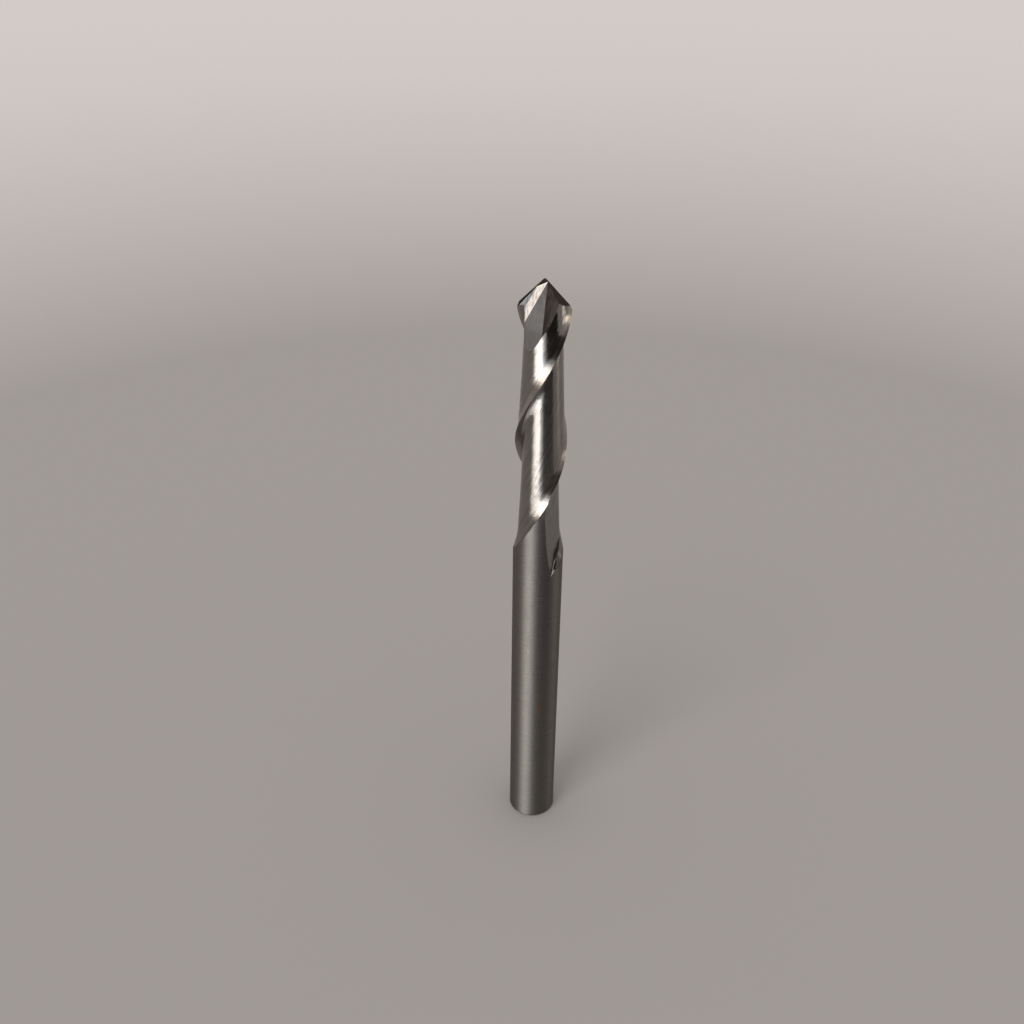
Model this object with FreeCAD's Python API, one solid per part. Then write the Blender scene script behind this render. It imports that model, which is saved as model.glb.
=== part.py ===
"""Two-flute solid carbide drill mill with a 90 degree point, ground from one round rod.

The tool stands on its shank: the origin is the centre of the shank's end face and +Z points
to the drill point. The flutes wind up it like a right-hand thread, and it cuts clockwise as
the machine sees it from the shank. Every feature is a grinding pass taken out of the rod: two
helical flutes that run out where the wheels left them, two relieved lands, and the point with
its relief facets and gashes. Lengths are millimetres and angles are degrees. An angle ahead
is measured round the tool the way it turns, an angle behind is measured the other way.
"""
import FreeCAD, Part
import os
from math import atan2, ceil, cos, degrees, hypot, pi, radians, sin, sqrt, tan

# Rod
tool_diameter = 6.0
overall_length = 75.0
shank_chamfer = 0.25

# Flutes, as sections square to the axis: depths are below the rod's surface
flute_count = 2
helix_angle = 30.0
edge_azimuth_at_tip = 27.0
rake_angle = 6.0
rake_foot_depth = 0.75
root_depth = 0.93
root_angle_ahead = 9.0
heel_depth = 0.42
heel_angle_behind = 24.0
heel_wall_angle_behind = 10.0
floor_growth = 1.4
flute_length = 27.8

# Lands: the relief starts this far below the rod's surface, and ends short of the flute
edge_setback = 0.015
land_relief = 12.0
land_relief_short_of_flute = 3.0

# Flute wheel, where it stopped at the flute's end: its floor takes over as the rake fades out
flute_wheel_diameter = 100.0
flute_wheel_width = 5.5
flute_wheel_depth = 0.845
flute_wheel_angle_ahead = 67.5
flute_wheel_reach = 42.0
rake_fade_length = 5.3

# The heel side of the flute, which runs out past the flute's end on a slanting slope
exit_past_flute = 6.9
exit_slant = 45.0
exit_slope = 13.0

# Point: a facet's azimuth is behind the lip's, and its distance is from the tip to its plane,
# below zero where the plane passes on the far side of the tip
point_angle = 90.0
point_relief = 14.0
relief_rise = 0.12
clearance_azimuth = 117.0
clearance_slope = 21.0
clearance_distance = 0.01
gash_wall_azimuth = 133.3
gash_wall_slope = 18.2
gash_wall_distance = -0.088
gash_rake_azimuth = 86.1
gash_rake_slope = -3.9
gash_rake_distance = -0.023
gash_floor_lift = 0.187

# Room for a cutter outside the rod, and how finely its sections are spaced and drawn
cutter_margin = 0.9
section_pitch = 2.0
floor_points = 11
hidden_gap = 0.02

radius = tool_diameter / 2
root_radius = radius - root_depth
heel_radius = radius - heel_depth
lead = pi * tool_diameter / tan(radians(helix_angle))
heel_angle_ahead = 360 / flute_count - heel_angle_behind
flute_end = overall_length - flute_length
UP = FreeCAD.Vector(0, 0, 1)
ORIGIN = FreeCAD.Vector(0, 0, 0)
TIP = FreeCAD.Vector(0, 0, overall_length)


def polar(distance, azimuth, height=0.0):
    """The point at this distance from the axis, azimuth and height."""
    turn = radians(azimuth)
    return FreeCAD.Vector(distance * cos(turn), distance * sin(turn), height)


def azimuth_of(point):
    """The azimuth of a point or a direction."""
    return degrees(atan2(point.y, point.x))


def spread(start, end, count):
    """Evenly spaced values from start to end."""
    return [start + (end - start) * i / (count - 1) for i in range(count)]


def edge_azimuth(height):
    """Where the first cutting edge stands at this height."""
    return edge_azimuth_at_tip + 360 * (height - overall_length) / lead


def rod():
    """The round rod, with the small chamfer on its shank end."""
    blank = Part.makeCylinder(radius, overall_length)
    shank_rim = [edge for edge in blank.Edges if edge.Closed and edge.CenterOfMass.z < shank_chamfer]
    return blank.makeChamfer(shank_chamfer, shank_rim)


def patterned(cutter):
    """One copy of a cutter for each flute."""
    copies = []
    for index in range(flute_count):
        copy = cutter.copy()
        copy.rotate(ORIGIN, UP, 360 * index / flute_count)
        copies.append(copy)
    return copies


def wheel_azimuth():
    """Where the flute wheel touched the tool when it stopped."""
    return edge_azimuth(flute_end) + flute_wheel_angle_ahead


def floor_radius(angle_ahead):
    """Distance of the flute's floor from the axis: it opens evenly from the root to the heel."""
    opened = max(0.0, (angle_ahead - root_angle_ahead) / (heel_angle_ahead - root_angle_ahead))
    return root_radius + (heel_radius - root_radius) * opened ** floor_growth


def stopped_wheel_floor(azimuth, height):
    """Distance from the axis of the flute wheel's rim, where the wheel stopped."""
    turn = radians(azimuth - wheel_azimuth())
    rise = height - flute_end
    wheel_radius = flute_wheel_diameter / 2
    centre = radius - flute_wheel_depth + wheel_radius
    lean = radians(helix_angle)
    across = sin(turn) * sin(lean)
    square = cos(turn) ** 2 + across ** 2
    linear = across * rise * cos(lean) - centre * cos(turn)
    constant = centre ** 2 + (rise * cos(lean)) ** 2 - wheel_radius ** 2
    return (-linear - sqrt(linear ** 2 - square * constant)) / square


def rake_floor(distance, azimuth, height):
    """This distance, lifted to the stopped wheel's floor over the length where the rake fades."""
    share = min(1.0, max(0.0, (flute_end + rake_fade_length - height) / rake_fade_length))
    if share == 0:
        return distance
    lifted = stopped_wheel_floor(azimuth, height) + hidden_gap
    return distance + (1 - cos(pi * share)) / 2 * max(0.0, lifted - distance)


def exit_floor(azimuth, height):
    """Distance from the axis of the slanting slope on which the heel side runs out."""
    across = radius * sin(radians(azimuth - wheel_azimuth()))
    end = flute_end - exit_past_flute + across * tan(radians(exit_slant))
    return radius - (height - end) * tan(radians(exit_slope))


def flute_floor_point(distance, azimuth, height):
    """A point of the flute's floor that would be at this distance if the flute didn't run out."""
    if azimuth < wheel_azimuth():
        distance = rake_floor(distance, azimuth, height)
    distance = max(distance, exit_floor(azimuth, height))
    return polar(min(distance, radius + cutter_margin / 2), azimuth, height)


def flute_section(height):
    """Outline of the flute cutter at this height: rake face, floor, heel wall and outer arc."""
    edge = edge_azimuth(height)
    late = max(0.0, wheel_azimuth() - flute_wheel_reach - edge)
    turn = FreeCAD.Rotation(UP, edge + late)
    rim = FreeCAD.Vector(radius, 0, 0)
    rake = FreeCAD.Vector(cos(radians(rake_angle)), sin(radians(rake_angle)), 0)
    foot = rim - rake * rake_foot_depth
    rake_top = turn.multVec(rim + rake * cutter_margin) + UP * height
    floor = [flute_floor_point(foot.Length, edge + late + azimuth_of(foot), height)]
    for angle in spread(root_angle_ahead + late, heel_angle_ahead, floor_points):
        floor.append(flute_floor_point(floor_radius(angle), edge + angle, height))
    curve = Part.BSplineCurve()
    curve.interpolate(floor)
    heel_rim = edge + 360 / flute_count - heel_wall_angle_behind
    spread_out = (heel_rim - edge - heel_angle_ahead) * cutter_margin / heel_depth
    wall_top = polar(radius + cutter_margin, heel_rim + spread_out, height)
    middle = polar(radius + cutter_margin, edge + (late + heel_angle_ahead) / 2, height)
    return Part.Wire([
        Part.makeLine(rake_top, floor[0]),
        curve.toShape(),
        Part.makeLine(floor[-1], wall_top),
        Part.Arc(wall_top, middle, rake_top).toShape(),
    ])


def wound(section, start):
    """The solid through a cutter's sections, wound up the helix from this height to past the tip."""
    end = overall_length + cutter_margin
    count = ceil((end - start) / section_pitch) + 1
    return Part.makeLoft([section(height) for height in spread(start, end, count)], True, False)


def flute_cutter():
    """The helical pass, from where its heel side runs out to past the drill point."""
    return wound(flute_section, flute_end - exit_past_flute)


def flute_wheel():
    """The flute wheel where it stopped, its plane along the helix: it leaves the long scoop."""
    lean = radians(helix_angle)
    axis = polar(cos(lean), wheel_azimuth() + 90) - UP * sin(lean)
    centre = polar(radius - flute_wheel_depth + flute_wheel_diameter / 2, wheel_azimuth(), flute_end)
    return Part.makeCylinder(flute_wheel_diameter / 2, flute_wheel_width,
                             centre - axis * (flute_wheel_width / 2), axis)


def land_section(height):
    """Outline of the land cutter: a flat behind the edge, closed outside the rod."""
    slope = radians(land_relief)
    edge_point = FreeCAD.Vector(radius - edge_setback, 0, 0)
    behind = FreeCAD.Vector(-sin(slope), -cos(slope), 0)
    front = edge_point - behind * cutter_margin
    back = edge_point + behind * tool_diameter * sin(slope)
    turn = FreeCAD.Rotation(UP, edge_azimuth(height))
    corners = [front, back, back * (1 + cutter_margin / radius), front + FreeCAD.Vector(cutter_margin, 0, 0)]
    placed = [turn.multVec(corner) + UP * height for corner in corners]
    return Part.makePolygon(placed + placed[:1])


def land_cutter():
    """The relief ground behind one cutting edge, over the relieved length."""
    return wound(land_section, flute_end + land_relief_short_of_flute)


def facing(azimuth, slope):
    """The direction that a flat faces: this azimuth, tipped up by this slope."""
    return polar(cos(radians(slope)), azimuth) + UP * sin(radians(slope))


def outside(direction, distance):
    """Everything outside a flat that faces this way, at this distance from the drill's tip."""
    size = overall_length / 2
    block = Part.makeBox(size, size, size, FreeCAD.Vector(-size / 2, -size / 2, 0))
    normal = direction * (1 / direction.Length)
    block.Placement = FreeCAD.Placement(TIP + normal * distance, FreeCAD.Rotation(UP, normal))
    return block


def lip_azimuth():
    """The azimuth of the first lip, which ends where its flute's edge meets the point."""
    return edge_azimuth(overall_length - radius / tan(radians(point_angle / 2)))


def point_relief_cutter():
    """The relief behind the first lip, which falls along the lip and away behind it."""
    along = polar(1 / tan(radians(point_angle / 2)), lip_azimuth())
    behind = polar(tan(radians(point_relief)), lip_azimuth() - 90)
    direction = along + behind + UP
    return outside(direction, relief_rise / direction.Length)


def clearance_cutter():
    """The steep clearance facet behind the relief of the first lip."""
    return outside(facing(lip_azimuth() - clearance_azimuth, clearance_slope), clearance_distance)


def gash_cutter():
    """The gash that thins the point: a back wall, the other lip's rake and a flat floor between."""
    wall = facing(lip_azimuth() - gash_wall_azimuth, gash_wall_slope)
    rake = facing(lip_azimuth() - gash_rake_azimuth, gash_rake_slope)
    floor = wall + rake
    floor_distance = (gash_wall_distance + gash_rake_distance) / floor.Length + gash_floor_lift
    notch = outside(wall, gash_wall_distance).common(outside(rake, gash_rake_distance))
    return notch.common(outside(floor, floor_distance))


def drill_mill():
    """The rod with every pass ground out of it."""
    body = rod()
    cutters = [flute_cutter(), land_cutter(), flute_wheel(),
               point_relief_cutter(), clearance_cutter(), gash_cutter()]
    for cutter in cutters:
        for copy in patterned(cutter):
            body = body.cut(copy)
    return body.removeSplitter()


os.makedirs("parts", exist_ok=True)
drill_mill().exportStep("parts/drill_mill.step")
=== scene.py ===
"""Looks of the drill mill: a ground carbide tool standing on a pale floor in soft light."""
import bpy
from math import cos, pi, radians, sin, tan
from mathutils import Matrix, Vector

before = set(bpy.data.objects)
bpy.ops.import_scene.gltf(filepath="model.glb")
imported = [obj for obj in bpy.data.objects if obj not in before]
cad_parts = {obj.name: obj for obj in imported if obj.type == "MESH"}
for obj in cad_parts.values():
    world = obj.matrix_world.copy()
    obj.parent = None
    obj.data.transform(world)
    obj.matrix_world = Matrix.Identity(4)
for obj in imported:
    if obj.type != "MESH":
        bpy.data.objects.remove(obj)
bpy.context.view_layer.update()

# The camera: its place and nearest distance in metres, its angles in radians
CAMERA_PLACE = (0.0, -0.10566, 0.1102)
CAMERA_YAW = 0.0299
CAMERA_PITCH = 0.5402
CAMERA_ROLL = 0.0114
CAMERA_LENS = 37.05
CAMERA_NEAREST = 0.005

# The floor: its colour is plain round the tool and pales evenly further away, which is painted light
FLOOR_HALF_SIZE = 4.0
FLOOR_NEAR = (0.355, 0.325, 0.305, 1)
FLOOR_FAR_PAINTED_LIGHT = (0.65, 0.6, 0.57, 1)
FLOOR_PLAIN_RADIUS = 0.18
FLOOR_PALING = 0.2
FLOOR_ROUGHNESS = 0.9

# The light: the metal sees a dimmer room than the one that lights the floor
ROOM_STRENGTH = 0.75
ROOM_IN_METAL = (0.1, 0.078, 0.07, 1)
KEY_AZIMUTH = -125
KEY_ELEVATION = 50
KEY_SPREAD = 25
KEY_SHARE = 0.25

# Upright soft boxes round the tool, each from one azimuth to another: foot, height, radiance, tint
CARD_DISTANCE = 0.115
SOFT_BOXES = {
    "soft_box": (-131, -105, 0.0, 0.072, 6.0, (1.0, 0.985, 0.955)),
    "soft_box_left": (-142, -131, 0.0, 0.08, 4.0, (1.0, 0.95, 0.9)),
    "soft_box_right": (-105, -97, 0.0, 0.072, 2.0, (0.86, 0.93, 1.0)),
    "soft_box_left_edge": (-150, -142, 0.0, 0.072, 0.7, (1.0, 0.92, 0.86)),
    "soft_box_right_edge": (-97, -90, 0.0, 0.072, 0.6, (0.82, 0.91, 1.0)),
    "soft_box_side": (166, 184, 0.073, 0.014, 0.9, (0.95, 0.98, 1.0)),
    "soft_box_back": (82, 98, 0.0, 0.09, 3.2, (1.0, 0.985, 0.96)),
    "warm_box": (-9, 4, 0.046, 0.012, 6.0, (1.0, 0.89, 0.76)),
}

# The black card beside them, also from one azimuth to another
FLAG_START = -88
FLAG_END = -34
FLAG_HEIGHT = 0.3
FLAG_TONE = (0.04, 0.036, 0.034, 1)

# The tool, in millimetres and degrees
MILLIMETRE = 0.001
RADIUS = 3.0
HEIGHT = 75.0
LEAD = 32.65
EDGE_AZIMUTH_AT_TIP = 27
FLUTE_END = 47.2
POINT_FOOT = 69.0
LAND_ANGLE = 12.5
LAND_INNER_RADIUS = 2.62

# The depths from which the rod's own skin counts a little and fully
SKIN_STARTS = 0.1
SKIN_WHOLE = 0.05

# How far it takes for one ground surface to fade into the next: at the flutes' end to either
# side, above it for the scoop, above the point's foot, and on the lands outward and sideways
FLUTE_FADE = 1
SCOOP_FADE = 3
POINT_FADE = 1.5
LAND_FADE = 0.06
LAND_FADE_ANGLE = 0.6

# Tones
GREY = (0.23, 0.217, 0.205, 1)
LIGHT_GREY = (0.3, 0.286, 0.272, 1)
# The lands' lighter grey is a painted highlight, mottled by the grain; the scratches use it too
LAND_PAINTED_HIGHLIGHT_AND_SCRATCH_GREY = (0.5, 0.45, 0.4, 1)
SHANK_SPECK = (0.36, 0.345, 0.33, 1)
COPPER = (0.42, 0.22, 0.13, 1)

# Small marks on the shank: the middle and the half size of each, and the share of it that is plain
COPPER_MARK = ((0.73, -2.91, 19.6), (0.22, 0.5, 0.95))
SCRATCHES = [
    ((0.27, -2.99, 36.7), (0.5, 0.5, 0.05)),
    ((0.05, -3.0, 35.5), (0.3, 0.5, 0.035)),
    ((-0.9, -2.86, 28.4), (0.04, 0.5, 0.6)),
]
MARK_CORE = 0.5

# Factors on a place: the first takes its height out, and the others stretch a noise into lines
FLATTEN = (1, 1, 0)
ALONG_HELIX = (1, 1, 0.06)
ALONG_RINGS = (0.12, 0.12, 2)

# Grinding marks: the scale and the detail of each noise
WHEEL_LINES = (5.0, 4.0)
RING_LINES = (6.0, 5.0)
GRAIN = (12.0, 5.0)
CLOUD = (1.2, 3.0)

# The values of a noise between which the second tone takes over
LINE_CONTRAST = (0.35, 0.7)
SPECK_CONTRAST = (0.45, 0.7)
MOTTLE_CONTRAST = (0.3, 0.75)

# Roughness: the flutes' own, then each surface that differs from them
FLUTE_ROUGHNESS = 0.24
ROUGHNESS = {"shank": 0.62, "land": 0.3, "scoop": 0.3, "point": 0.17, "copper": 0.55}
ROUGHNESS_VARIATION = 0.12
ANISOTROPY = 0.85
ANISOTROPY_TURN = 0.25

# Bump: its height in millimetres, and how much of it is grain on each surface that has some
BUMP_STRENGTH = 0.6
BUMP_HEIGHT = 0.02
GRAIN_SHARE = {"land": 0.7, "shank": 0.3}


def make_camera():
    """The camera of the photograph, standing where the fit of the tool's outline puts it."""
    data = bpy.data.cameras.new("camera")
    data.lens = CAMERA_LENS
    data.clip_start = CAMERA_NEAREST
    camera = bpy.data.objects.new("camera", data)
    bpy.context.scene.collection.objects.link(camera)
    turn = Matrix.Rotation(CAMERA_YAW, 3, "Z")
    forward = turn @ Vector((0, cos(CAMERA_PITCH), -sin(CAMERA_PITCH)))
    level = turn @ Vector((1, 0, 0))
    upright = level.cross(forward)
    right = level * cos(CAMERA_ROLL) + upright * sin(CAMERA_ROLL)
    up = upright * cos(CAMERA_ROLL) - level * sin(CAMERA_ROLL)
    facing = Matrix((right, up, -forward)).transposed().to_4x4()
    camera.matrix_world = Matrix.Translation(CAMERA_PLACE) @ facing
    bpy.context.scene.camera = camera


class Nodes:
    """Short ways to add nodes to one node tree. An input is another node's output or a value."""

    def __init__(self, tree):
        self.tree = tree

    def add(self, kind, **settings):
        """A new node of this kind, with its settings."""
        node = self.tree.nodes.new(kind)
        for name, value in settings.items():
            setattr(node, name, value)
        return node

    def link(self, value, socket):
        """Gives the socket its input."""
        if isinstance(value, bpy.types.NodeSocket):
            self.tree.links.new(value, socket)
        else:
            socket.default_value = value

    def math(self, operation, first, second=0.0):
        """A calculation with one or two numbers."""
        node = self.add("ShaderNodeMath", operation=operation)
        self.link(first, node.inputs[0])
        self.link(second, node.inputs[1])
        return node.outputs[0]

    def vector(self, operation, first, second=(0.0, 0.0, 0.0)):
        """A calculation with one or two vectors."""
        node = self.add("ShaderNodeVectorMath", operation=operation)
        self.link(first, node.inputs[0])
        self.link(second, node.inputs[1])
        return node.outputs["Value" if operation in ("LENGTH", "DOT_PRODUCT") else "Vector"]

    def ramp(self, value, start, end):
        """0 up to start, 1 from end on, and smooth between. The start may be the larger value."""
        node = self.add("ShaderNodeMapRange", interpolation_type="SMOOTHSTEP")
        self.link(value, node.inputs["Value"])
        node.inputs["From Min"].default_value = start
        node.inputs["From Max"].default_value = end
        return node.outputs["Result"]

    def mix(self, share, first, second):
        """The first colour, with this share of the second. Sockets 6, 7 and 2 are the colours'."""
        node = self.add("ShaderNodeMix", data_type="RGBA")
        self.link(share, node.inputs[0])
        self.link(first, node.inputs[6])
        self.link(second, node.inputs[7])
        return node.outputs[2]

    def blend(self, share, first, second):
        """The first number, with this share of the second. Sockets 2, 3 and 0 are the numbers'."""
        node = self.add("ShaderNodeMix", data_type="FLOAT")
        self.link(share, node.inputs[0])
        self.link(first, node.inputs[2])
        self.link(second, node.inputs[3])
        return node.outputs[0]

    def noise(self, place, scale, detail):
        """Noise between 0 and 1 at this place."""
        node = self.add("ShaderNodeTexNoise")
        self.link(place, node.inputs["Vector"])
        node.inputs["Scale"].default_value = scale
        node.inputs["Detail"].default_value = detail
        return node.outputs["Fac"]

    def spot(self, place, centre, size):
        """1 in the middle of a small oval round this point, fading to 0 at its rim."""
        offset = self.vector("DIVIDE", self.vector("SUBTRACT", place, centre), size)
        faded = self.ramp(self.vector("LENGTH", offset), MARK_CORE, 1.0)
        return self.math("SUBTRACT", 1.0, faded)


def new_material(name):
    """A new material and its shader."""
    material = bpy.data.materials.new(name)
    material.use_nodes = True
    return material, material.node_tree.nodes["Principled BSDF"]


def new_sheet(name, corners, material):
    """A flat sheet with these four corners."""
    mesh = bpy.data.meshes.new(name)
    mesh.from_pydata(corners, [], [(0, 1, 2, 3)])
    mesh.materials.append(material)
    sheet = bpy.data.objects.new(name, mesh)
    bpy.context.scene.collection.objects.link(sheet)
    return sheet


def make_floor():
    """A wide plain floor whose colour pales with the distance from the tool: painted light far off."""
    material, shader = new_material("floor")
    nodes = Nodes(material.node_tree)
    distance = nodes.vector("LENGTH", nodes.add("ShaderNodeTexCoord").outputs["Object"])
    beyond = nodes.math("MAXIMUM", nodes.math("SUBTRACT", distance, FLOOR_PLAIN_RADIUS), 0.0)
    kept = nodes.math("EXPONENT", nodes.math("DIVIDE", beyond, -FLOOR_PALING))
    # Painted light: the floor pales toward the far colour away from the tool
    nodes.link(nodes.mix(kept, FLOOR_FAR_PAINTED_LIGHT, FLOOR_NEAR), shader.inputs["Base Color"])
    shader.inputs["Roughness"].default_value = FLOOR_ROUGHNESS
    shader.inputs["Specular IOR Level"].default_value = 0.0
    side = FLOOR_HALF_SIZE
    corners = [(-side, -side, 0), (side, -side, 0), (side, side, 0), (-side, side, 0)]
    floor = new_sheet("floor", corners, material)


def make_room():
    """The room's even light, which the metal sees as dim and the camera as the far floor with its painted
    light.
    """
    world = bpy.data.worlds.new("room")
    world.use_nodes = True
    nodes = Nodes(world.node_tree)
    background = world.node_tree.nodes["Background"]
    path = nodes.add("ShaderNodeLightPath")
    lit = (ROOM_STRENGTH, ROOM_STRENGTH, ROOM_STRENGTH, 1)
    seen = nodes.mix(path.outputs["Is Glossy Ray"], lit, ROOM_IN_METAL)
    nodes.link(nodes.mix(path.outputs["Is Camera Ray"], seen, FLOOR_FAR_PAINTED_LIGHT), background.inputs["Color"])
    bpy.context.scene.world = world


def toward(azimuth, elevation=0.0):
    """The unit vector that points this way, in degrees."""
    level = cos(radians(elevation))
    return Vector((cos(radians(azimuth)) * level, sin(radians(azimuth)) * level, sin(radians(elevation))))


def make_key():
    """The key light, which leaves the soft shadow: with the room it lights the floor fully."""
    data = bpy.data.lights.new("key", "SUN")
    data.angle = radians(KEY_SPREAD)
    data.energy = KEY_SHARE * pi / sin(radians(KEY_ELEVATION))
    key = bpy.data.objects.new("key", data)
    bpy.context.scene.collection.objects.link(key)
    key.rotation_euler = (-toward(KEY_AZIMUTH, KEY_ELEVATION)).to_track_quat("-Z", "Y").to_euler()
    key.visible_glossy = False


def card_width(start, end):
    """Width of an upright card that spans these azimuths."""
    return 2 * CARD_DISTANCE * tan(radians((end - start) / 2))


def make_soft_box(name, start, end, foot, height, radiance, tint):
    """An upright soft box that spans these azimuths, seen in the metal alone."""
    data = bpy.data.lights.new(name, "AREA")
    data.shape = "RECTANGLE"
    data.size = card_width(start, end)
    data.size_y = height
    data.energy = radiance * pi * data.size * data.size_y
    data.color = tint
    box = bpy.data.objects.new(name, data)
    bpy.context.scene.collection.objects.link(box)
    direction = toward((start + end) / 2)
    box.location = direction * CARD_DISTANCE + Vector((0, 0, foot + height / 2))
    box.rotation_euler = (-direction).to_track_quat("-Z", "Y").to_euler()
    box.visible_camera = False
    box.visible_diffuse = False


def make_flag():
    """An upright black card that only the metal reflects."""
    material, shader = new_material("flag")
    shader.inputs["Base Color"].default_value = FLAG_TONE
    shader.inputs["Specular IOR Level"].default_value = 0.0
    middle = toward((FLAG_START + FLAG_END) / 2)
    across = Vector((-middle.y, middle.x, 0)) * (card_width(FLAG_START, FLAG_END) / 2)
    foot = middle * CARD_DISTANCE
    head = foot + Vector((0, 0, FLAG_HEIGHT))
    corners = [foot - across, foot + across, head + across, head - across]
    flag = new_sheet("flag", corners, material)
    flag.visible_camera = False
    flag.visible_diffuse = False
    flag.visible_shadow = False


def land_band(nodes, turned):
    """1 on the two lands, in coordinates that turn with the helix."""
    flat = nodes.vector("MULTIPLY", turned, FLATTEN)
    middle = toward(EDGE_AZIMUTH_AT_TIP - 360 * HEIGHT / LEAD - LAND_ANGLE / 2)
    nearness = nodes.math("ABSOLUTE", nodes.vector("DOT_PRODUCT", nodes.vector("NORMALIZE", flat), middle))
    side = cos(radians(LAND_ANGLE / 2 + LAND_FADE_ANGLE))
    band = nodes.ramp(nearness, side, cos(radians(LAND_ANGLE / 2)))
    distance = nodes.vector("LENGTH", flat)
    outer = nodes.ramp(distance, LAND_INNER_RADIUS, LAND_INNER_RADIUS + LAND_FADE)
    return nodes.math("MULTIPLY", band, outer)


def find_surfaces(nodes, place, height, turned):
    """Where each ground surface and the copper mark are: 1 on it and 0 off it."""
    distance = nodes.vector("LENGTH", nodes.vector("MULTIPLY", place, FLATTEN))
    skin = nodes.ramp(distance, RADIUS - SKIN_STARTS, RADIUS - SKIN_WHOLE)
    upper = nodes.ramp(height, FLUTE_END - FLUTE_FADE, FLUTE_END + FLUTE_FADE)
    lower = nodes.ramp(height, FLUTE_END + SCOOP_FADE, FLUTE_END)
    return {
        "skin": skin,
        "shank": nodes.math("MULTIPLY", skin, nodes.math("SUBTRACT", 1.0, upper)),
        "scoop": nodes.math("MULTIPLY", nodes.math("SUBTRACT", 1.0, skin), lower),
        "land": nodes.math("MULTIPLY", land_band(nodes, turned), upper),
        "point": nodes.ramp(height, POINT_FOOT, POINT_FOOT + POINT_FADE),
        "copper": nodes.spot(place, *COPPER_MARK),
    }


def make_tone(nodes, place, on, lines, grain):
    """The colour: greys that follow the grinding, the speckled shank, the lands' painted highlight mottled
    by the grain, and the marks.
    """
    tone = nodes.mix(nodes.ramp(lines, *LINE_CONTRAST), GREY, LIGHT_GREY)
    specks = nodes.math("MULTIPLY", on["shank"], nodes.ramp(grain, *SPECK_CONTRAST))
    tone = nodes.mix(specks, tone, SHANK_SPECK)
    # Painted highlight on the lands, mottled by the grain
    mottled_painted_highlight = nodes.math("MULTIPLY", on["land"], nodes.ramp(grain, *MOTTLE_CONTRAST))
    tone = nodes.mix(mottled_painted_highlight, tone, LAND_PAINTED_HIGHLIGHT_AND_SCRATCH_GREY)
    for centre, size in SCRATCHES:
        tone = nodes.mix(nodes.spot(place, centre, size), tone, LAND_PAINTED_HIGHLIGHT_AND_SCRATCH_GREY)
    return nodes.mix(on["copper"], tone, COPPER)


def make_roughness(nodes, place, on, lines):
    """The roughness: each surface has its own, and it varies with the lines and in clouds."""
    rough = FLUTE_ROUGHNESS
    for surface, value in ROUGHNESS.items():
        rough = nodes.blend(on[surface], rough, value)
    cloud = nodes.noise(place, *CLOUD)
    uneven = nodes.math("SUBTRACT", nodes.math("ADD", cloud, lines), 1.0)
    return nodes.math("ADD", rough, nodes.math("MULTIPLY", uneven, ROUGHNESS_VARIATION))


def make_bump(nodes, on, lines, grain):
    """The relief of the grinding: lines everywhere, with some grain on the lands and the shank."""
    relief = lines
    for surface, share in GRAIN_SHARE.items():
        relief = nodes.blend(nodes.math("MULTIPLY", on[surface], share), relief, grain)
    bump = nodes.add("ShaderNodeBump")
    bump.inputs["Strength"].default_value = BUMP_STRENGTH
    bump.inputs["Distance"].default_value = BUMP_HEIGHT * MILLIMETRE
    nodes.link(relief, bump.inputs["Height"])
    return bump.outputs[0]


def carbide():
    """Ground carbide: a satin shank, polished flutes and lands with a mottled painted highlight."""
    material, shader = new_material("carbide")
    nodes = Nodes(material.node_tree)
    metres = nodes.add("ShaderNodeTexCoord").outputs["Object"]
    place = nodes.vector("DIVIDE", metres, (MILLIMETRE, MILLIMETRE, MILLIMETRE))
    parts = nodes.add("ShaderNodeSeparateXYZ")
    nodes.link(place, parts.inputs[0])
    height = parts.outputs["Z"]
    turn = nodes.add("ShaderNodeVectorRotate", rotation_type="Z_AXIS")
    nodes.link(place, turn.inputs["Vector"])
    nodes.link(nodes.math("MULTIPLY", height, -2 * pi / LEAD), turn.inputs["Angle"])
    turned = turn.outputs[0]

    on = find_surfaces(nodes, place, height, turned)
    wheel_lines = nodes.noise(nodes.vector("MULTIPLY", turned, ALONG_HELIX), *WHEEL_LINES)
    ring_lines = nodes.noise(nodes.vector("MULTIPLY", place, ALONG_RINGS), *RING_LINES)
    lines = nodes.blend(on["skin"], wheel_lines, ring_lines)
    grain = nodes.noise(place, *GRAIN)

    nodes.link(make_tone(nodes, place, on, lines, grain), shader.inputs["Base Color"])
    nodes.link(make_roughness(nodes, place, on, lines), shader.inputs["Roughness"])
    nodes.link(make_bump(nodes, on, lines, grain), shader.inputs["Normal"])
    tangent = nodes.add("ShaderNodeTangent", direction_type="RADIAL", axis="Z")
    nodes.link(tangent.outputs[0], shader.inputs["Tangent"])
    shader.inputs["Metallic"].default_value = 1.0
    shader.inputs["Anisotropic"].default_value = ANISOTROPY
    shader.inputs["Anisotropic Rotation"].default_value = ANISOTROPY_TURN
    return material


def dress():
    """The CAD node keeps its shape and gets the ground carbide."""
    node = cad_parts["drill_mill"]
    node.data.materials.clear()
    node.data.materials.append(carbide())


bpy.context.scene.view_settings.view_transform = "Standard"
make_camera()
make_floor()
make_room()
make_key()
for name, settings in SOFT_BOXES.items():
    make_soft_box(name, *settings)
make_flag()
dress()
